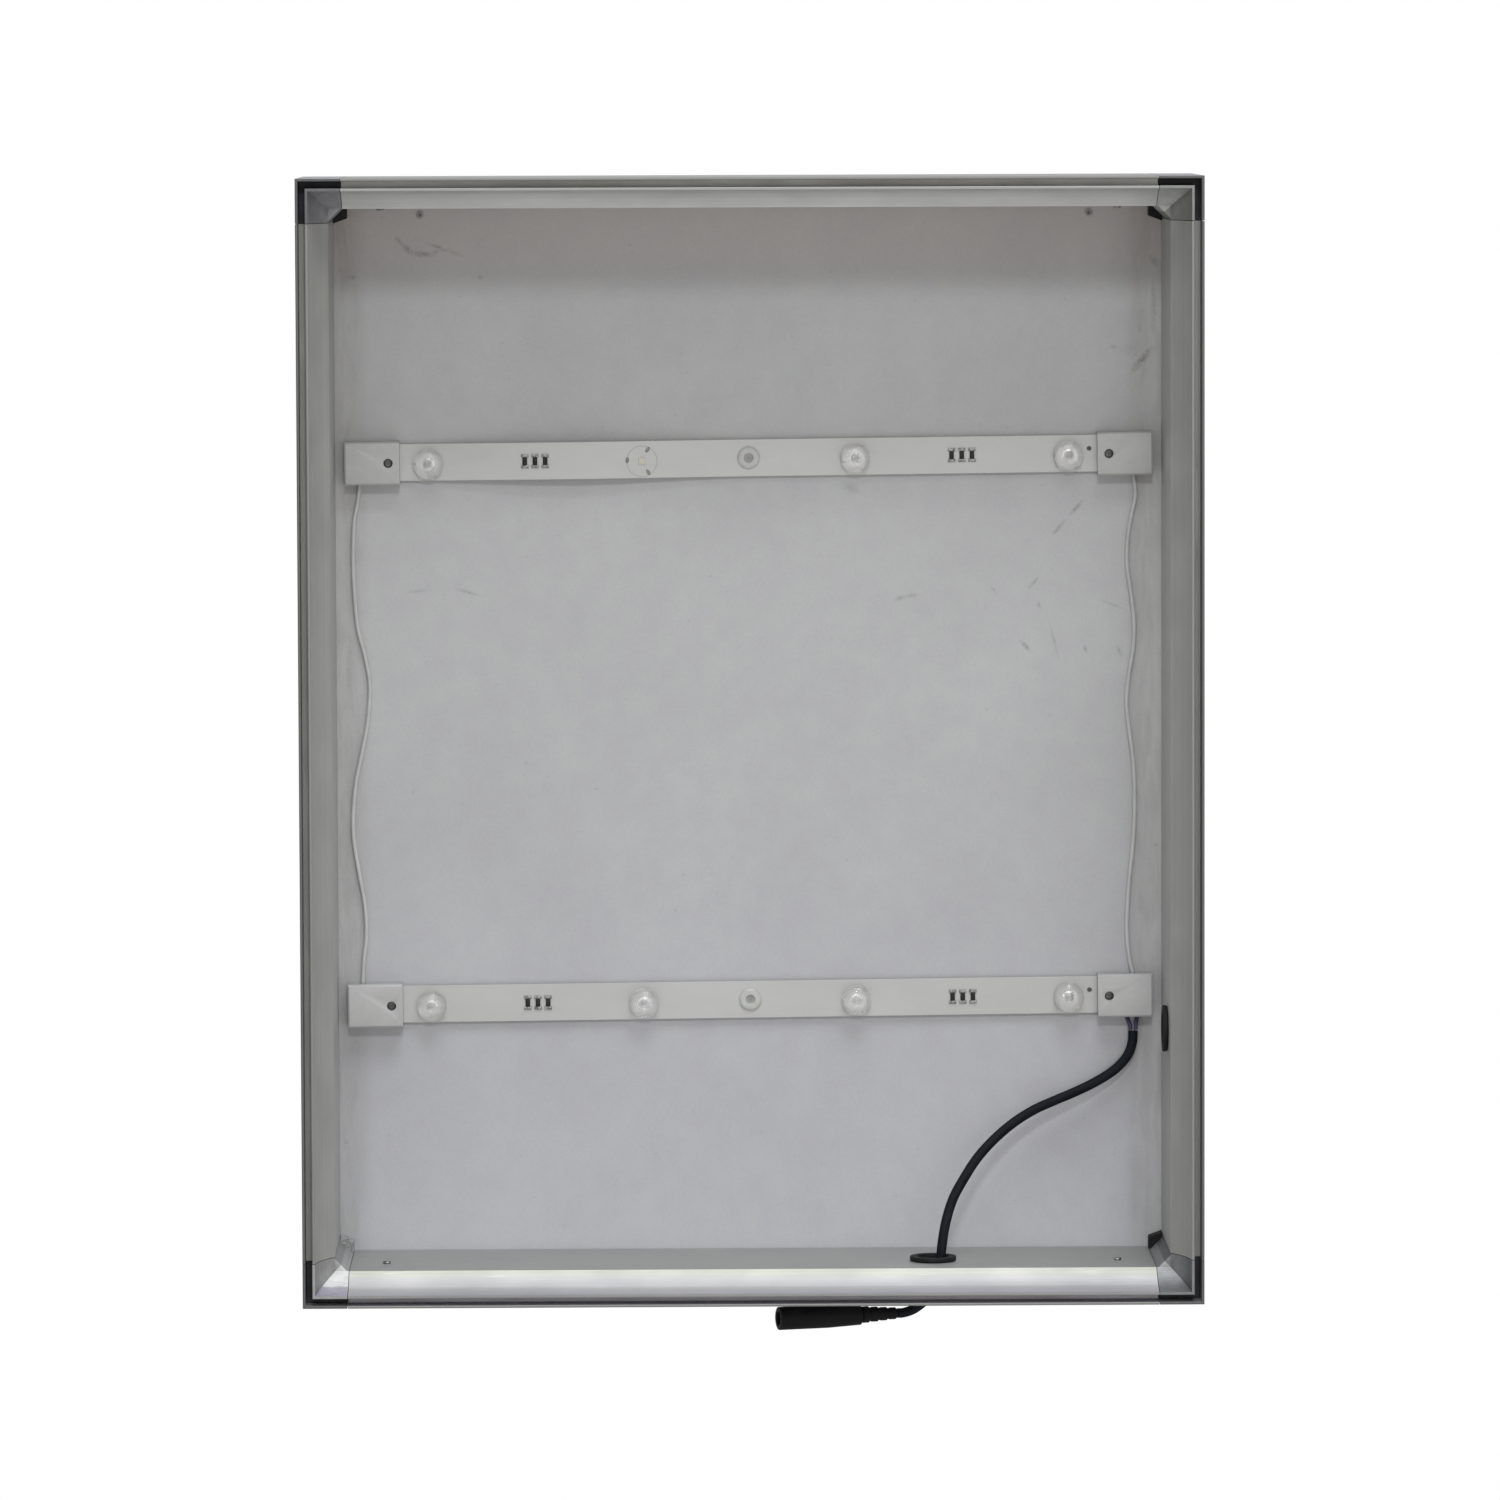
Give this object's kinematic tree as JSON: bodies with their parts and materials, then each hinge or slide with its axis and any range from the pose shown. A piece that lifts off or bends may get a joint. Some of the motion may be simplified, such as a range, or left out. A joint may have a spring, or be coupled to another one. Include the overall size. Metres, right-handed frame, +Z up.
{
  "type": "lightbox",
  "caption": "Shallow wall-mounted lightbox with an extruded aluminium frame, moulded corners, a white back panel, LED boards with lenses, and a low-voltage lead through the bottom.",
  "frame": {"origin": "centre of the back, on the plane of the wall", "axes": "+Z up, +Y into the wall, +X to the right as seen from the front, so the open front faces -Y"},
  "size_m": [0.4, 0.1, 0.5152],
  "materials": {
    "aluminium": "satin, silver anodised, lengthwise extrusion lines",
    "shell_grey": "silver-grey moulded",
    "cover_grey": "grey moulded, slightly metallic",
    "black_plastic": "matt black",
    "screw_steel": "dull",
    "panel_white": "matt white board with a faint speckle and scuffs",
    "board_white": "white solder mask",
    "lens_clear": "clear moulded acrylic",
    "nylon": "natural nylon, translucent",
    "cap_white": "white moulded",
    "wire_white": "white PVC",
    "core_blue": "dark blue PVC",
    "cable_black": "matt black PVC",
    "pin_brass": "plain",
    "bush_rubber": "matt black rubber"
  },
  "bodies": {
    "root": {"profile_bottom": "aluminium", "profile_top": "aluminium", "profile_left": "aluminium", "profile_right": "aluminium", "corner_core_bottom_left": "black_plastic", "corner_core_bottom_right": "black_plastic", "corner_core_top_left": "black_plastic", "corner_core_top_right": "black_plastic", "corner_shell_bottom_left": "shell_grey", "corner_shell_bottom_right": "shell_grey", "corner_shell_top_left": "shell_grey", "corner_shell_top_right": "shell_grey", "corner_cover_bottom_left": "cover_grey", "corner_cover_bottom_right": "cover_grey", "corner_cover_top_left": "cover_grey", "corner_cover_top_right": "cover_grey", "corner_screw_bottom_left": "screw_steel", "corner_screw_bottom_right": "screw_steel", "corner_screw_top_left": "screw_steel", "corner_screw_top_right": "screw_steel", "back_panel": "panel_white", "panel_screw_bottom_1": "screw_steel", "panel_screw_bottom_2": "screw_steel", "panel_screw_top_1": "screw_steel", "panel_screw_top_2": "screw_steel", "panel_screw_left_1": "screw_steel", "panel_screw_left_2": "screw_steel", "panel_screw_right_1": "screw_steel", "panel_screw_right_2": "screw_steel", "hole_stopper_left": "bush_rubber", "hole_stopper_right": "bush_rubber", "led_board_upper": "board_white", "led_board_lower": "board_white", "lens_upper_1": "lens_clear", "lens_upper_3": "lens_clear", "lens_upper_4": "lens_clear", "lens_lower_1": "lens_clear", "lens_lower_2": "lens_clear", "lens_lower_3": "lens_clear", "lens_lower_4": "lens_clear", "push_rivet_upper": "nylon", "push_rivet_lower": "nylon", "end_cap_upper_left": "cap_white", "end_cap_upper_right": "cap_white", "end_cap_lower_left": "cap_white", "end_cap_lower_right": "cap_white", "cap_screw_upper_left": "screw_steel", "cap_screw_upper_right": "screw_steel", "cap_screw_lower_left": "screw_steel", "cap_screw_lower_right": "screw_steel", "link_wire_left": "wire_white", "link_wire_right": "wire_white", "lead_core_1": "core_blue", "lead_core_2": "core_blue", "power_lead": "cable_black", "strain_relief": "cable_black", "connector_body": "black_plastic", "connector_pin": "pin_brass", "cable_bush_bottom": "bush_rubber", "cable_bush_side": "bush_rubber"}
  },
  "joints": []
}
